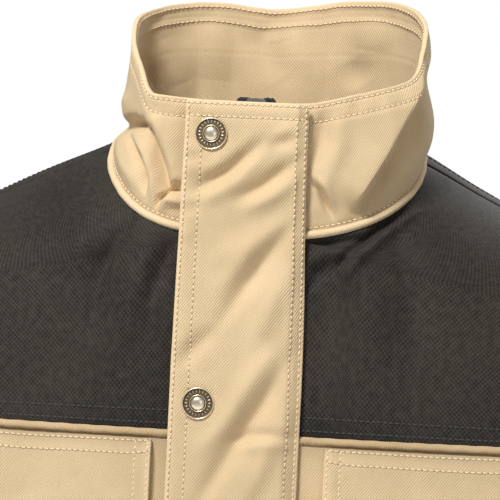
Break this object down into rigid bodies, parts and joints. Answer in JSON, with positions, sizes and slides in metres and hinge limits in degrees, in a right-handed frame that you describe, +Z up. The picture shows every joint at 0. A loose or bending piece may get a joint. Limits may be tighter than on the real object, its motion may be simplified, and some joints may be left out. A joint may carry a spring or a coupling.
{
  "type": "beekeeping jacket",
  "caption": "Stand-collar beekeeping jacket with twill body, dark shoulder yokes, zip under a snapped storm flap, chest pockets, set-in sleeves and snap-tab cuffs.",
  "frame": {"origin": "the eye of the hanger loop inside the back neck, where the jacket hangs on a hook", "axes": "+Z up, -Y the wearer's front, +X the wearer's left; the jacket is closed and filled out as if worn"},
  "size_m": [0.7962, 0.2924, 0.7919],
  "materials": {
    "twill": "beige cotton twill with a dry hand, slightly creased",
    "oxford": "black oxford weave, faintly slubbed",
    "zip_tape": "woven black zip tape",
    "nylon": "dark grey moulded coil",
    "antique_brass": "antique brass, rubbed bright on the rims",
    "gunmetal": "gunmetal plated"
  },
  "bodies": {
    "jacket_body": {"front_panel_left": "twill", "front_panel_right": "twill", "front_yoke_left": "oxford", "front_yoke_right": "oxford", "back_panel": "twill", "back_yoke": "oxford", "waistband_front_left": "twill", "waistband_front_right": "twill", "waistband_back": "twill", "piping_front_left": "twill", "piping_front_right": "twill", "piping_back": "twill", "collar_outer": "twill", "collar_facing": "twill", "hanger_loop": "twill", "snap_stud_1": "antique_brass", "snap_stud_2": "antique_brass", "snap_stud_3": "antique_brass", "snap_stud_4": "antique_brass", "snap_stud_5": "antique_brass", "snap_stud_6": "antique_brass", "zip_tape_left": "zip_tape", "zip_tape_right": "zip_tape", "zip_chain_left": "nylon", "zip_chain_right": "nylon", "zip_bottom_stop": "nylon", "chest_pocket_left": "twill", "chest_pocket_right": "twill", "pocket_welt_left": "twill", "pocket_welt_right": "twill"},
    "storm_flap": {"placket_flap": "twill", "snap_cap_1": "antique_brass", "snap_cap_2": "antique_brass", "snap_cap_3": "antique_brass", "snap_cap_4": "antique_brass", "snap_cap_5": "antique_brass", "snap_cap_6": "antique_brass", "snap_socket_1": "antique_brass", "snap_socket_2": "antique_brass", "snap_socket_3": "antique_brass", "snap_socket_4": "antique_brass", "snap_socket_5": "antique_brass", "snap_socket_6": "antique_brass"},
    "zip_slider": {"zip_slider": "gunmetal"},
    "zip_puller": {"zip_puller": "gunmetal"},
    "pocket_flap_left": {"pocket_flap_left": "twill", "pocket_snap_cap_left": "antique_brass"},
    "pocket_flap_right": {"pocket_flap_right": "twill", "pocket_snap_cap_right": "antique_brass"},
    "sleeve_left": {"sleeve_left": "twill", "cuff_left": "twill"},
    "sleeve_right": {"sleeve_right": "twill", "cuff_right": "twill"},
    "cuff_tab_left": {"cuff_tab_left": "twill", "cuff_snap_cap_left": "antique_brass"},
    "cuff_tab_right": {"cuff_tab_right": "twill", "cuff_snap_cap_right": "antique_brass"}
  },
  "joints": [
    {"name": "storm_flap_hinge", "type": "hinge", "parent": "jacket_body", "child": "storm_flap", "pos_m": [0.0315, -0.12347, 0.01518], "axis": [0, 0.0733, 0.9973], "range_deg": [0, 90]},
    {"name": "zip_slide", "type": "slide", "parent": "jacket_body", "child": "zip_slider", "axis": [0, 0.0733, 0.9973], "range_m": [-0.68, 0]},
    {"name": "puller_swing", "type": "hinge", "parent": "zip_slider", "child": "zip_puller", "pos_m": [0, -0.12249, 0.00809], "axis": [0, -0.9973, 0.0733], "range_deg": [-20, 20]},
    {"name": "pocket_flap_left_hinge", "type": "hinge", "parent": "jacket_body", "child": "pocket_flap_left", "pos_m": [0.105, -0.13755, -0.1595], "axis": [-1, 0, 0], "range_deg": [0, 150]},
    {"name": "pocket_flap_right_hinge", "type": "hinge", "parent": "jacket_body", "child": "pocket_flap_right", "pos_m": [-0.105, -0.13755, -0.1595], "axis": [-1, 0, 0], "range_deg": [0, 150]},
    {"name": "sleeve_left_raise", "type": "hinge", "parent": "jacket_body", "child": "sleeve_left", "pos_m": [0.2054, -0.032, -0.072], "axis": [0, -1, 0], "range_deg": [0, 35]},
    {"name": "sleeve_right_raise", "type": "hinge", "parent": "jacket_body", "child": "sleeve_right", "pos_m": [-0.2054, -0.032, -0.072], "axis": [0, 1, 0], "range_deg": [0, 35]},
    {"name": "cuff_tab_left_hinge", "type": "hinge", "parent": "sleeve_left", "child": "cuff_tab_left", "pos_m": [0.35126, -0.01687, -0.65992], "axis": [-0.153, 0.254, 0.955], "range_deg": [0, 60]},
    {"name": "cuff_tab_right_hinge", "type": "hinge", "parent": "sleeve_right", "child": "cuff_tab_right", "pos_m": [-0.35126, -0.01687, -0.65992], "axis": [-0.153, -0.254, -0.955], "range_deg": [0, 60]}
  ]
}
